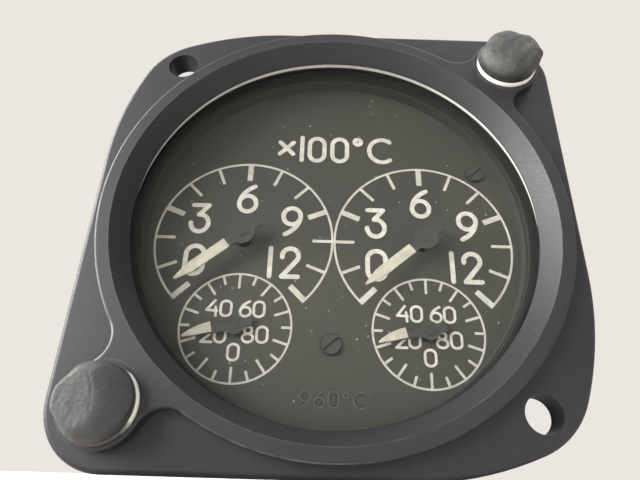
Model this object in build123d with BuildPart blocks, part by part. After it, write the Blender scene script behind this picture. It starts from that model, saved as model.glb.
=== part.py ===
from build123d import *
import os
from math import atan2, cos, degrees, hypot, pi, radians, sin, sqrt, tan

# Twin temperature gauge for an aircraft panel, in millimetres.
# The dial faces -Y, +Z is up, and Y = 0 is the flange's mounting face on the case axis.

os.makedirs("parts", exist_ok=True)

# Flange casting
flange_half = 42.5
flange_thickness = 4.7
flange_edge_radius = 0.8
lamp_corner_radius = 10.0
bolt_corner_radius = 14.0
side_curve_radius = 54.6
side_curve_start = 10.0
bolt_side_inset = 11.25
bolt_end_inset = 9.8
bolt_hole_radius = 2.9

# Raised ring, inner cone and lamp lobes
ring_radius = 40.5
ring_rise = 2.3
ring_edge_radius = 0.5
ring_land = 2.4
lip_radius = 35.9
lip_depth = 3.7
lip_land = 0.3
lamp_inset = 9.2
lobe_radius = 6.4
lobe_blend_radius = 4.3
lobe_blend_reach = 1.6

# Window stack, from the lip back to the dial
window_bore_radius = 37.3
ring_depth = 1.5
ring_undercut = 0.7
glass_thickness = 1.5
gasket_thickness = 1.2
gasket_width = 1.7
spacer_depth = 2.6
spacer_width = 2.0
dial_thickness = 1.0
stack_clearance = 0.1

# Case
spigot_wall = 1.3
spigot_length = 9.0
case_clearance = 0.1
case_wall = 1.3
case_length = 118.0
case_seat_depth = 0.3
case_seat_clearance = 0.1
case_end_chamfer = 0.5
cover_thickness = 2.5
cover_edge_radius = 1.0
cover_spigot_wall = 1.5
cover_spigot_length = 4.0
cover_gasket_thickness = 0.5
case_screw_radius = 1.25
case_screw_head_radius = 2.2
case_screw_head_height = 0.8
case_screw_count = 4
cover_screw_count = 4
cover_screw_offset = 35.0
cover_screw_head_height = 1.5
cover_lug_radius = 3.2
cover_lug_length = 8.0

# Scales: two coarse dials side by side, each with a fine dial under it
hub_half_spacing = 16.85
coarse_hub_height = -1.7
fine_hub_drop = 16.85
coarse_scale_radius = 16.65
coarse_scale_start = 225.0
coarse_scale_sweep = 270.0
coarse_full_scale = 1200.0
coarse_step = 100.0
coarse_tick_inner = 12.9
coarse_line_width = 0.4
coarse_tick_width = 0.58
coarse_heavy_width = 1.05
fine_scale_radius = 9.77
fine_scale_start = 270.0
fine_full_scale = 100.0
fine_line_width = 0.35
fine_tick_width = 0.45
fine_long_inner = 7.0
fine_short_inner = 8.0
fine_tick_count = 20
mark_height = 0.06
rest_temperature = 21.0

# Pointers
coarse_pointer_length = 14.6
coarse_pointer_width = 1.9
coarse_pointer_taper = 3.2
coarse_pointer_tail = 4.0
coarse_pointer_hub = 2.3
coarse_pointer_lift = 2.8
fine_pointer_length = 9.1
fine_pointer_width = 1.6
fine_pointer_tail = 3.0
fine_pointer_hub = 1.7
fine_pointer_lift = 0.8
pointer_thickness = 0.4
pointer_tip_width = 0.3
pointer_collar_wall = 0.5
pointer_collar_height = 0.5
arbor_nose = 0.15

# Dial screws
dial_screw_points = [(28.2, 14.2), (-0.1, -21.3)]
dial_screw_head_radius = 1.7
dial_screw_head_height = 0.6
dial_screw_radius = 1.0
dial_slot_angle = 40.0
slot_width = 0.5
slot_depth = 0.35

# Movement
plate_radius = 38.2
plate_thickness = 1.5
plate_gap = 13.5
pillar_radius = 2.0
pillar_offset = 33.0
pillar_count = 4
dial_post_radius = 2.2
lock_ring_width = 2.0
lock_ring_depth = 2.0
arbor_radius = 0.8
bush_wall = 1.2
running_clearance = 0.05
dial_hole_clearance = 0.8

# Gears
gear_module = 0.4
wheel_teeth = 40
pinion_teeth = 10
addendum_factor = 0.8
dedendum_factor = 1.2
tooth_share = 0.37
flank_angle = 20.0
wheel_thickness = 1.0
pinion_face = 1.6
wheel_hub_radius = 2.0
wheel_hub_height = 1.0
first_mesh_depth = 3.0
second_mesh_depth = 8.0

# Drive and electronics
motor_radius = 8.8
motor_length = 34.0
drive_boss_radius = 4.0
drive_boss_length = 1.5
pot_radius = 7.2
pot_length = 13.0
drive_bore_depth = 6.0
board_radius = 35.0
board_thickness = 1.6
first_board_depth = 40.0
board_gap = 18.0
transformer_width = 24.0
transformer_height = 18.0
transformer_depth = 13.0
transformer_core = 7.0
capacitor_radius = 4.0
capacitor_length = 12.0
capacitor_gap = 4.0
transistor_radius = 3.0
transistor_length = 5.0
transistor_inset = 9.0
transistor_count = 4

# Lamps
lamp_bore_radius = 5.0
lamp_bore_floor = 1.2
bush_body_length = 3.5
bush_inner_radius = 4.2
bush_rim_radius = 5.75
bush_rim_height = 0.9
cap_radius = 5.3
cap_crown_radius = 4.5
cap_height = 3.9
cap_edge_radius = 0.9
cap_wall = 1.2
cap_skirt = 1.0
bush_rim_chamfer = 0.35
contact_thickness = 1.0
lamp_base_radius = 1.9
lamp_base_length = 2.2
lamp_radius = 1.5
lamp_length = 4.2
light_channel_radius = 0.6
light_channel_rise = 0.3

# Rear connector
shell_radius = 11.0
shell_wall = 1.4
shell_length = 13.0
shell_flange_half = 13.0
shell_flange_thickness = 2.2
shell_flange_corner = 2.5
shell_screw_offset = 10.2
shell_screw_count = 4
shell_screw_radius = 1.1
shell_screw_head_radius = 1.9
shell_screw_head_height = 1.0
insert_recess = 9.0
insert_length = 8.0
pin_radius = 0.75
pin_length = 4.5
pin_ring_radius = 5.6
pin_ring_count = 9
pin_inner_radius = 2.3
pin_inner_count = 4

# Depths along Y worked out from the sizes above
flange_front = -flange_thickness
ring_front = flange_front - ring_rise
lip_front = ring_front + lip_depth
lip_back = lip_front + lip_land
glass_front = lip_back + ring_depth
glass_back = glass_front + glass_thickness
gasket_back = glass_back + gasket_thickness
dial_front = gasket_back + spacer_depth
dial_back = dial_front + dial_thickness
front_plate_front = spigot_length
front_plate_back = front_plate_front + plate_thickness
rear_plate_front = front_plate_back + plate_gap
rear_plate_back = rear_plate_front + plate_thickness
first_board_front = rear_plate_back + first_board_depth
first_board_back = first_board_front + board_thickness
second_board_front = first_board_back + board_gap
second_board_back = second_board_front + board_thickness
cover_front = case_length + cover_gasket_thickness
cover_back = cover_front + cover_thickness
shell_back = cover_back + shell_length
insert_back = shell_back - insert_recess
insert_front = insert_back - insert_length

crest_radius = ring_radius - ring_land
spigot_radius = window_bore_radius + spigot_wall
case_inner_radius = spigot_radius + case_clearance
case_radius = case_inner_radius + case_wall
stack_radius = window_bore_radius - stack_clearance
diagonal = 45.0
bolt_x = flange_half - bolt_side_inset
bolt_z = flange_half - bolt_end_inset
lamp_offset = flange_half - lamp_inset
lamp_distance = hypot(lamp_offset, lamp_offset)
lamp_points = [(lamp_offset, lamp_offset), (-lamp_offset, -lamp_offset)]
bolt_points = [(-bolt_x, bolt_z), (bolt_x, -bolt_z)]
lamp_names = ["upper", "lower"]
lamp_angles = [diagonal, diagonal + 180]
fine_hub_height = coarse_hub_height - fine_hub_drop


def facing(depth):
    # A sketch plane at this depth: X to the right, Z up, extruded towards the viewer
    return Plane(origin=(0, depth, 0), x_dir=(1, 0, 0), z_dir=(0, -1, 0))


def save(piece, name):
    piece.part.label = name
    export_step(piece.part, f"parts/{name}.step")


def disc(radius, front, back, centres=((0, 0),), bore=0.0):
    # Coaxial discs or rings between two depths
    with BuildPart() as piece:
        with BuildSketch(facing(back)):
            with Locations(*centres):
                Circle(radius)
                if bore:
                    Circle(bore, mode=Mode.SUBTRACT)
        extrude(amount=back - front)
    return piece


def turned(point, angle):
    a = radians(angle)
    return (point[0] * cos(a) - point[1] * sin(a), point[0] * sin(a) + point[1] * cos(a))


def around(radius, count, start=0.0):
    return [turned((radius, 0), start + 360 * n / count) for n in range(count)]


# Bezel casting
def bolt_corner_offset():
    # How far out the corner arc's centre lies, for an arc tangent to both long side curves
    inset = flange_half - side_curve_radius
    total = inset + side_curve_start
    reach = side_curve_radius - bolt_corner_radius
    rest = inset**2 + side_curve_start**2 - reach**2
    return (total + sqrt(total**2 - 2 * rest)) / 2


def flange_outline():
    c = bolt_corner_offset()
    side_centre = (side_curve_radius - flange_half, side_curve_start)
    top_centre = (-side_centre[1], -side_centre[0])
    touch = degrees(atan2(c - side_centre[1], -c - side_centre[0]))
    swing = touch - 135.0
    lamp_centre = flange_half - lamp_corner_radius
    for turn in (0, 180):
        CenterArc(turned(side_centre, turn), side_curve_radius, 180 + turn, touch - 180)
        CenterArc(turned((-c, c), turn), bolt_corner_radius, touch + turn, -2 * swing)
        CenterArc(turned(top_centre, turn), side_curve_radius, 135 - swing + turn, touch - 180)
        Line(turned((-side_curve_start, flange_half), turn), turned((lamp_centre, flange_half), turn))
        CenterArc(turned((lamp_centre, lamp_centre), turn), lamp_corner_radius, 90 + turn, -90)
        Line(turned((flange_half, lamp_centre), turn), turned((flange_half, -side_curve_start), turn))


def lobe_blend():
    # Radius and centre of the concave arc that touches the raised ring and the lobe, along and off the
    # diagonal: over a wide gap its radius grows with the gap, so the lobe keeps a broad neck
    gap = lamp_distance - ring_radius - lobe_radius
    blend = max(lobe_blend_radius, lobe_blend_reach * gap)
    to_ring = ring_radius + blend
    to_lobe = lobe_radius + blend
    along = (lamp_distance**2 + to_ring**2 - to_lobe**2) / (2 * lamp_distance)
    return blend, along, sqrt(to_ring**2 - along**2)


with BuildPart() as bezel_flange:
    with BuildSketch(facing(0)):
        with BuildLine():
            flange_outline()
        make_face()
    extrude(amount=flange_thickness)
    flange_edges = bezel_flange.faces().sort_by(Axis.Y)[0].edges()
    fillet(flange_edges, flange_edge_radius)
    blend, along, aside = lobe_blend()
    ring_share = ring_radius / (ring_radius + blend)
    lobe_share = lobe_radius / (lobe_radius + blend)
    with BuildSketch(facing(flange_front)):
        Circle(ring_radius)
        with PolarLocations(0, 2, start_angle=diagonal):
            lobe_x = lamp_distance + (along - lamp_distance) * lobe_share
            Polygon(
                (along * ring_share, aside * ring_share),
                (lobe_x, aside * lobe_share),
                (lobe_x, -aside * lobe_share),
                (along * ring_share, -aside * ring_share),
                align=None,
            )
            with Locations((lamp_distance, 0)):
                Circle(lobe_radius)
            with Locations((along, aside), (along, -aside)):
                Circle(blend, mode=Mode.SUBTRACT)
    extrude(amount=ring_rise)
    fillet(bezel_flange.faces().sort_by(Axis.Y)[0].outer_wire().edges(), ring_edge_radius)
    with BuildSketch(facing(spigot_length)):
        Circle(spigot_radius)
    extrude(amount=spigot_length)
    with BuildSketch(Plane.XY):
        with BuildLine():
            Polyline(
                (0, ring_front),
                (crest_radius, ring_front),
                (lip_radius, lip_front),
                (lip_radius, lip_back),
                (window_bore_radius, lip_back),
                (window_bore_radius, spigot_length),
                (0, spigot_length),
                close=True,
            )
        make_face()
    revolve(axis=Axis.Y, mode=Mode.SUBTRACT)
    with BuildSketch(facing(0)):
        with Locations(*bolt_points):
            Circle(bolt_hole_radius)
    extrude(amount=flange_thickness, mode=Mode.SUBTRACT)
    with BuildSketch(facing(0)):
        Circle(case_radius + case_seat_clearance)
        Circle(spigot_radius, mode=Mode.SUBTRACT)
    extrude(amount=case_seat_depth, mode=Mode.SUBTRACT)
    with BuildSketch(facing(-lamp_bore_floor)):
        with Locations(*lamp_points):
            Circle(lamp_bore_radius)
    extrude(amount=-ring_front - lamp_bore_floor, mode=Mode.SUBTRACT)
    for angle in lamp_angles:
        mouth = turned((lamp_distance - lamp_bore_radius + light_channel_radius, 0), angle)
        inner = turned((window_bore_radius - stack_clearance, 0), angle)
        start = Vector(mouth[0], -lamp_bore_floor - light_channel_radius - light_channel_rise, mouth[1])
        end = Vector(inner[0], (glass_front + glass_back) / 2, inner[1])
        with BuildSketch(Plane(origin=start, z_dir=end - start)):
            Circle(light_channel_radius)
        extrude(amount=(end - start).length, mode=Mode.SUBTRACT)
save(bezel_flange, "bezel_flange")


# Window stack
save(disc(stack_radius, lip_back, glass_front, bore=lip_radius + ring_undercut), "glass_ring")
save(disc(stack_radius, glass_front, glass_back), "cover_glass")
save(disc(stack_radius, glass_back, gasket_back, bore=stack_radius - gasket_width), "glass_gasket")
save(disc(stack_radius, gasket_back, dial_front, bore=stack_radius - spacer_width), "dial_spacer")


# Dial
coarse_hubs = [(-hub_half_spacing, coarse_hub_height), (hub_half_spacing, coarse_hub_height)]
fine_hubs = [(x, fine_hub_height) for x, _ in coarse_hubs]

with BuildPart() as dial_plate:
    with BuildSketch(facing(dial_back)):
        Circle(stack_radius)
        with Locations(*coarse_hubs, *fine_hubs):
            Circle(arbor_radius + dial_hole_clearance, mode=Mode.SUBTRACT)
        with Locations(*dial_screw_points):
            Circle(dial_screw_radius, mode=Mode.SUBTRACT)
    extrude(amount=dial_thickness)
save(dial_plate, "dial_plate")


def ticks(inner, outer, width, count, start, sweep, endpoint):
    middle = (inner + outer) / 2
    with PolarLocations(middle, count, start, sweep, endpoint=endpoint):
        Rectangle(outer - inner, width)


def coarse_scale():
    steps = round(coarse_full_scale / coarse_step)
    outer = coarse_scale_radius + coarse_line_width / 2
    reach = 2 * outer
    sweep = -coarse_scale_sweep
    with BuildSketch(mode=Mode.PRIVATE) as scale:
        Circle(outer)
        Circle(coarse_scale_radius - coarse_line_width / 2, mode=Mode.SUBTRACT)
        Polygon((0, 0), (-reach, -reach), (reach, -reach), align=None, mode=Mode.SUBTRACT)
        ticks(coarse_tick_inner, outer, coarse_tick_width, steps + 1, coarse_scale_start, sweep, True)
        ticks(coarse_tick_inner, outer, coarse_heavy_width, steps // 3 + 1, coarse_scale_start, sweep, True)
    return scale.sketch


def fine_scale():
    outer = fine_scale_radius + fine_line_width / 2
    with BuildSketch(mode=Mode.PRIVATE) as scale:
        Circle(outer)
        Circle(fine_scale_radius - fine_line_width / 2, mode=Mode.SUBTRACT)
        ticks(fine_short_inner, outer, fine_tick_width, fine_tick_count, fine_scale_start, 360, False)
        ticks(fine_long_inner, outer, fine_tick_width, fine_tick_count // 2, fine_scale_start, 360, False)
    return scale.sketch


with BuildPart() as dial_scales:
    with BuildSketch(facing(dial_front)):
        with Locations(*coarse_hubs):
            add(coarse_scale())
        with Locations(*fine_hubs):
            add(fine_scale())
    extrude(amount=mark_height)
save(dial_scales, "dial_scales")

with BuildPart() as dial_screws:
    with BuildSketch(facing(front_plate_front)):
        with Locations(*dial_screw_points):
            Circle(dial_screw_radius)
    extrude(amount=front_plate_front - dial_front)
    with BuildSketch(facing(dial_front)):
        with Locations(*dial_screw_points):
            Circle(dial_screw_head_radius)
    extrude(amount=dial_screw_head_height)
    with BuildSketch(facing(dial_front - dial_screw_head_height)):
        with Locations(*dial_screw_points):
            Rectangle(2 * dial_screw_head_radius, slot_width, rotation=dial_slot_angle)
    extrude(amount=-slot_depth, mode=Mode.SUBTRACT)
save(dial_screws, "dial_screws")
save(disc(dial_post_radius, dial_back, front_plate_front, dial_screw_points, dial_screw_radius), "dial_posts")


# Pointers
def coarse_angle(temperature):
    return coarse_scale_start - coarse_scale_sweep * temperature / coarse_full_scale


def fine_angle(temperature):
    return fine_scale_start - 360 * temperature / fine_full_scale


def at(centre, angle):
    return Location((centre[0], centre[1], 0), (0, 0, 1), angle)


def pointer(hub, angle, lift, length, width, taper, tail, hub_radius):
    # Blade with a pointed end and a blunt tail on a round hub that is pressed on its arbor
    back = dial_front - lift
    with BuildPart() as piece:
        with BuildSketch(facing(back)):
            with Locations(at(hub, angle)):
                Polygon(
                    (length, pointer_tip_width / 2),
                    (length - taper, width / 2),
                    (-tail, width / 2),
                    (-tail, -width / 2),
                    (length - taper, -width / 2),
                    (length, -pointer_tip_width / 2),
                    align=None,
                )
                Circle(hub_radius)
                Circle(arbor_radius, mode=Mode.SUBTRACT)
        extrude(amount=pointer_thickness)
        with BuildSketch(facing(back)):
            with Locations(hub):
                Circle(arbor_radius + pointer_collar_wall)
                Circle(arbor_radius, mode=Mode.SUBTRACT)
        extrude(amount=-pointer_collar_height)
    return piece


# Gears
wheel_pitch_radius = gear_module * wheel_teeth / 2
pinion_pitch_radius = gear_module * pinion_teeth / 2
gear_spacing = wheel_pitch_radius + pinion_pitch_radius


def gear_outline(teeth):
    # Straight-flanked teeth, one of them centred on the X axis
    pitch = gear_module * teeth / 2
    tip = pitch + addendum_factor * gear_module
    root = pitch - dedendum_factor * gear_module
    half = tooth_share * pi * gear_module / 2
    slope = tan(radians(flank_angle))
    tip_half = half - (tip - pitch) * slope
    root_half = half + (pitch - root) * slope
    foot = sqrt(root**2 - root_half**2)
    with BuildSketch(mode=Mode.PRIVATE) as outline:
        Circle(root)
        with PolarLocations(0, teeth):
            Polygon(
                (0, 0),
                (foot, -root_half),
                (tip, -tip_half),
                (tip, tip_half),
                (foot, root_half),
                align=None,
            )
    return outline.sketch


def wheel(centre, tooth_at, front):
    with BuildPart() as piece:
        with BuildSketch(facing(front + wheel_thickness)):
            with Locations(at(centre, tooth_at)):
                add(gear_outline(wheel_teeth))
                Circle(arbor_radius, mode=Mode.SUBTRACT)
        extrude(amount=wheel_thickness)
        with BuildSketch(facing(front + wheel_thickness)):
            with Locations(centre):
                Circle(wheel_hub_radius)
                Circle(arbor_radius, mode=Mode.SUBTRACT)
        extrude(amount=-wheel_hub_height)
    return piece


def arbor(centre, front, back, pinion_front=None, tooth_at=0.0):
    with BuildPart() as piece:
        with BuildSketch(facing(back)):
            with Locations(centre):
                Circle(arbor_radius)
        extrude(amount=back - front)
        if pinion_front is not None:
            with BuildSketch(facing(pinion_front + pinion_face)):
                with Locations(at(centre, tooth_at)):
                    add(gear_outline(pinion_teeth))
            extrude(amount=pinion_face)
    return piece


def heading(start, end):
    return degrees(atan2(end[1] - start[1], end[0] - start[0]))


first_mesh_front = front_plate_back + first_mesh_depth
second_mesh_front = front_plate_back + second_mesh_depth
half_drop = fine_hub_drop / 2
middle_inset = sqrt(gear_spacing**2 - half_drop**2)
pinion_shift = (pinion_face - wheel_thickness) / 2
half_pinion_pitch = 180 / pinion_teeth
coarse_front = dial_front - coarse_pointer_lift - pointer_thickness - arbor_nose
fine_front = dial_front - fine_pointer_lift - pointer_thickness - arbor_nose
arbor_back = rear_plate_back - running_clearance
drive_back = rear_plate_back + drive_bore_depth
middle_hubs = []

for side, hub, fine_hub, inward in zip(("left", "right"), coarse_hubs, fine_hubs, (1, -1)):
    middle = (hub[0] + inward * middle_inset, hub[1] - half_drop)
    middle_hubs.append(middle)
    to_middle = heading(hub, middle)
    to_fine = heading(middle, fine_hub)

    save(arbor(hub, coarse_front, drive_back), f"{side}_coarse_arbor")
    save(wheel(hub, to_middle, first_mesh_front), f"{side}_coarse_wheel")
    coarse_pointer = pointer(
        hub, coarse_angle(rest_temperature), coarse_pointer_lift, coarse_pointer_length,
        coarse_pointer_width, coarse_pointer_taper, coarse_pointer_tail, coarse_pointer_hub,
    )
    save(coarse_pointer, f"{side}_coarse_pointer")

    gap_at = to_middle + 180 + half_pinion_pitch
    middle_arbor = arbor(middle, front_plate_front, arbor_back, first_mesh_front - pinion_shift, gap_at)
    save(middle_arbor, f"{side}_middle_arbor")
    save(wheel(middle, to_fine, second_mesh_front), f"{side}_middle_wheel")

    gap_at = to_fine + 180 + half_pinion_pitch
    fine_arbor = arbor(fine_hub, fine_front, drive_back, second_mesh_front - pinion_shift, gap_at)
    save(fine_arbor, f"{side}_fine_arbor")
    fine_pointer = pointer(
        fine_hub, fine_angle(rest_temperature), fine_pointer_lift, fine_pointer_length,
        fine_pointer_width, fine_pointer_length - fine_pointer_hub, fine_pointer_tail, fine_pointer_hub,
    )
    save(fine_pointer, f"{side}_fine_pointer")


# Movement frame
bush_bore = arbor_radius + running_clearance
bush_radius = bush_bore + bush_wall
all_hubs = [*coarse_hubs, *fine_hubs, *middle_hubs]
pillar_points = around(pillar_offset, pillar_count)


def plate(front, back):
    with BuildPart() as piece:
        with BuildSketch(facing(back)):
            Circle(plate_radius)
            with Locations(*all_hubs):
                Circle(bush_radius, mode=Mode.SUBTRACT)
        extrude(amount=back - front)
    return piece


save(plate(front_plate_front, front_plate_back), "front_plate")
save(plate(rear_plate_front, rear_plate_back), "rear_plate")
save(disc(bush_radius, front_plate_front, front_plate_back, all_hubs, bush_bore), "front_bushes")
save(disc(bush_radius, rear_plate_front, rear_plate_back, all_hubs, bush_bore), "rear_bushes")
save(disc(pillar_radius, front_plate_back, rear_plate_front, pillar_points), "plate_pillars")
lock_ring_back = front_plate_back + lock_ring_depth
lock_ring_bore = case_inner_radius - lock_ring_width
save(disc(case_inner_radius, front_plate_back, lock_ring_back, bore=lock_ring_bore), "lock_ring")


# Drives
def drive(centre, radius, length):
    # Housing with a round boss on its back and a blind bore for its arbor
    housing_back = rear_plate_back + length
    with BuildPart() as piece:
        with BuildSketch(facing(housing_back)):
            with Locations(centre):
                Circle(radius)
        extrude(amount=length)
        with BuildSketch(facing(housing_back + drive_boss_length)):
            with Locations(centre):
                Circle(drive_boss_radius)
        extrude(amount=drive_boss_length)
        with BuildSketch(facing(drive_back + running_clearance)):
            with Locations(centre):
                Circle(bush_bore)
        extrude(amount=drive_bore_depth + running_clearance, mode=Mode.SUBTRACT)
    return piece


for side, hub, fine_hub in zip(("left", "right"), coarse_hubs, fine_hubs):
    save(drive(fine_hub, motor_radius, motor_length), f"{side}_servo_motor")
    save(drive(hub, pot_radius, pot_length), f"{side}_feedback_pot")


# Electronics
save(disc(pillar_radius, rear_plate_back, first_board_front, pillar_points), "board_pillars")
save(disc(board_radius, first_board_front, first_board_back), "control_board")
save(disc(pillar_radius, first_board_back, second_board_front, pillar_points), "board_spacers")
save(disc(board_radius, second_board_front, second_board_back), "supply_board")

with BuildPart() as supply_transformer:
    with BuildSketch(facing(second_board_back + transformer_depth)):
        Rectangle(transformer_width, transformer_core)
        Rectangle(transformer_width - transformer_core, transformer_height)
    extrude(amount=transformer_depth)
save(supply_transformer, "supply_transformer")

capacitor_offset = transformer_height / 2 + capacitor_gap + capacitor_radius
capacitor_points = [(0, capacitor_offset), (0, -capacitor_offset)]
capacitor_back = second_board_back + capacitor_length
save(disc(capacitor_radius, second_board_back, capacitor_back, capacitor_points), "board_capacitors")
transistor_points = around(board_radius - transistor_inset, transistor_count, diagonal)
transistor_back = first_board_back + transistor_length
save(disc(transistor_radius, first_board_back, transistor_back, transistor_points), "board_transistors")


# Case
def radial_plane(angle, distance):
    # A plane across the case's radius at the front screws, facing outwards
    a = radians(angle)
    out = Vector(cos(a), 0, sin(a))
    return Plane(origin=out * distance + Vector(0, spigot_length / 2, 0), x_dir=(0, 1, 0), z_dir=out)


case_screw_angles = [360 * n / case_screw_count for n in range(case_screw_count)]
shell_screw_points = around(hypot(shell_screw_offset, shell_screw_offset), shell_screw_count, diagonal)
lug_back = case_length - cover_spigot_length - running_clearance
cover_screw_points = around(cover_screw_offset, cover_screw_count, diagonal)

with BuildPart() as case_tube:
    with BuildSketch(facing(case_length)):
        Circle(case_radius)
        Circle(case_inner_radius, mode=Mode.SUBTRACT)
    extrude(amount=case_length + case_seat_depth)
    chamfer(case_tube.faces().sort_by(Axis.Y)[0].outer_wire().edges(), case_end_chamfer)
    with BuildSketch(facing(lug_back)):
        with Locations(*cover_screw_points):
            Circle(cover_lug_radius)
        with PolarLocations((cover_screw_offset + case_inner_radius) / 2, cover_screw_count, diagonal):
            Rectangle(case_inner_radius - cover_screw_offset, 2 * cover_lug_radius)
        with Locations(*cover_screw_points):
            Circle(case_screw_radius, mode=Mode.SUBTRACT)
    extrude(amount=cover_lug_length)
    for angle in case_screw_angles:
        with BuildSketch(radial_plane(angle, case_radius - case_screw_head_height)):
            Circle(case_screw_head_radius)
        extrude(amount=2 * case_screw_head_height, mode=Mode.SUBTRACT)
        with BuildSketch(radial_plane(angle, case_inner_radius - case_wall)):
            Circle(case_screw_radius)
        extrude(amount=2 * case_wall, mode=Mode.SUBTRACT)
save(case_tube, "case_tube")

with BuildPart() as case_screws:
    for angle in case_screw_angles:
        with BuildSketch(radial_plane(angle, spigot_radius)):
            Circle(case_screw_radius)
        extrude(amount=case_radius - spigot_radius)
        with BuildSketch(radial_plane(angle, case_radius - case_screw_head_height)):
            Circle(case_screw_head_radius)
            Rectangle(slot_width, 2 * case_screw_head_radius, mode=Mode.SUBTRACT)
        extrude(amount=case_screw_head_height)
save(case_screws, "case_screws")

cover_spigot_radius = case_inner_radius - case_clearance
shell_hole_radius = shell_radius + case_clearance
with BuildPart() as rear_cover:
    with BuildSketch(facing(cover_back)):
        Circle(case_radius)
    extrude(amount=cover_thickness)
    fillet(rear_cover.faces().sort_by(Axis.Y)[-1].edges(), cover_edge_radius)
    with BuildSketch(facing(cover_front)):
        Circle(cover_spigot_radius)
        Circle(cover_spigot_radius - cover_spigot_wall, mode=Mode.SUBTRACT)
    extrude(amount=cover_spigot_length)
    with BuildSketch(facing(cover_back)):
        Circle(shell_hole_radius)
        with Locations(*cover_screw_points, *shell_screw_points):
            Circle(case_screw_radius)
    extrude(amount=cover_thickness, mode=Mode.SUBTRACT)
save(rear_cover, "rear_cover")
save(disc(case_radius, case_length, cover_front, bore=case_inner_radius), "cover_gasket")


def slotted_screws(points, radius, front, seat, head_radius, head_height):
    # Round-headed screws whose heads stand behind the seat
    with BuildPart() as piece:
        with BuildSketch(facing(seat)):
            with Locations(*points):
                Circle(radius)
        extrude(amount=seat - front)
        with BuildSketch(facing(seat + head_height)):
            with Locations(*points):
                Circle(head_radius)
        extrude(amount=head_height)
        with BuildSketch(facing(seat + head_height)):
            with Locations(*points):
                Rectangle(2 * head_radius, slot_width)
        extrude(amount=slot_depth, mode=Mode.SUBTRACT)
    return piece


cover_screws = slotted_screws(
    cover_screw_points, case_screw_radius, lug_back - cover_lug_length / 2, cover_back,
    case_screw_head_radius, cover_screw_head_height,
)
save(cover_screws, "cover_screws")


# Rear connector
with BuildPart() as connector_shell:
    with BuildSketch(facing(cover_back + shell_flange_thickness)):
        RectangleRounded(2 * shell_flange_half, 2 * shell_flange_half, shell_flange_corner)
        with Locations(*shell_screw_points):
            Circle(shell_screw_radius, mode=Mode.SUBTRACT)
    extrude(amount=shell_flange_thickness)
    with BuildSketch(facing(shell_back)):
        Circle(shell_radius)
    extrude(amount=shell_back - insert_front)
    with BuildSketch(facing(shell_back)):
        Circle(shell_radius - shell_wall)
    extrude(amount=shell_back - insert_front, mode=Mode.SUBTRACT)
save(connector_shell, "connector_shell")
save(disc(shell_radius - shell_wall, insert_front, insert_back), "connector_insert")

pin_points = around(pin_ring_radius, pin_ring_count) + around(pin_inner_radius, pin_inner_count)
save(disc(pin_radius, insert_back, insert_back + pin_length, pin_points), "connector_pins")
shell_screws = slotted_screws(
    shell_screw_points, shell_screw_radius, cover_front, cover_back + shell_flange_thickness,
    shell_screw_head_radius, shell_screw_head_height,
)
save(shell_screws, "connector_screws")


# Lamps
rim_front = ring_front - bush_rim_height
contact_front = -lamp_bore_floor - contact_thickness


def turned_piece(centre, *points):
    # Revolve a closed radius-and-depth outline about the lamp's own axis
    with BuildPart() as piece:
        with BuildSketch(Plane(origin=(centre[0], 0, centre[1]), x_dir=(1, 0, 0), z_dir=(0, 0, 1))):
            with BuildLine():
                Polyline(*points, close=True)
            make_face()
        revolve(axis=Axis((centre[0], 0, centre[1]), (0, 1, 0)))
    return piece


for name, centre in zip(lamp_names, lamp_points):
    bush_back = ring_front + bush_body_length
    bush = turned_piece(
        centre,
        (bush_inner_radius, bush_back),
        (lamp_bore_radius, bush_back),
        (lamp_bore_radius, ring_front),
        (bush_rim_radius, ring_front),
        (bush_rim_radius, rim_front + bush_rim_chamfer),
        (bush_rim_radius - bush_rim_chamfer, rim_front),
        (bush_inner_radius, rim_front),
    )
    save(bush, f"{name}_lamp_bush")

    cap_front = rim_front - cap_height
    stem_radius = bush_inner_radius - running_clearance
    hollow_radius = stem_radius - cap_wall
    cap = turned_piece(
        centre,
        (0, cap_front),
        (cap_crown_radius, cap_front),
        (cap_radius, rim_front - cap_skirt),
        (cap_radius, rim_front),
        (stem_radius, rim_front),
        (stem_radius, bush_back - running_clearance),
        (hollow_radius, bush_back - running_clearance),
        (hollow_radius, cap_front + cap_wall),
        (0, cap_front + cap_wall),
    )
    with cap:
        crown = cap.faces().sort_by(Axis.Y)[0]
        fillet(crown.edges(), cap_edge_radius)
    save(cap, f"{name}_lamp_cap")

    base_front = contact_front - lamp_base_length
    lamp = turned_piece(
        centre,
        (0, contact_front),
        (lamp_base_radius, contact_front),
        (lamp_base_radius, base_front),
        (lamp_radius, base_front),
        (lamp_radius, base_front - lamp_length + lamp_radius / 2),
        (lamp_radius / 2, base_front - lamp_length),
        (0, base_front - lamp_length),
    )
    save(lamp, f"{name}_lamp")

save(disc(bush_inner_radius, contact_front, -lamp_bore_floor, lamp_points), "lamp_contacts")
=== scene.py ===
# Twin temperature gauge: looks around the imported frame, in metres
import bpy
import bmesh
import math
from mathutils import Matrix, Vector, noise


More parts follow.
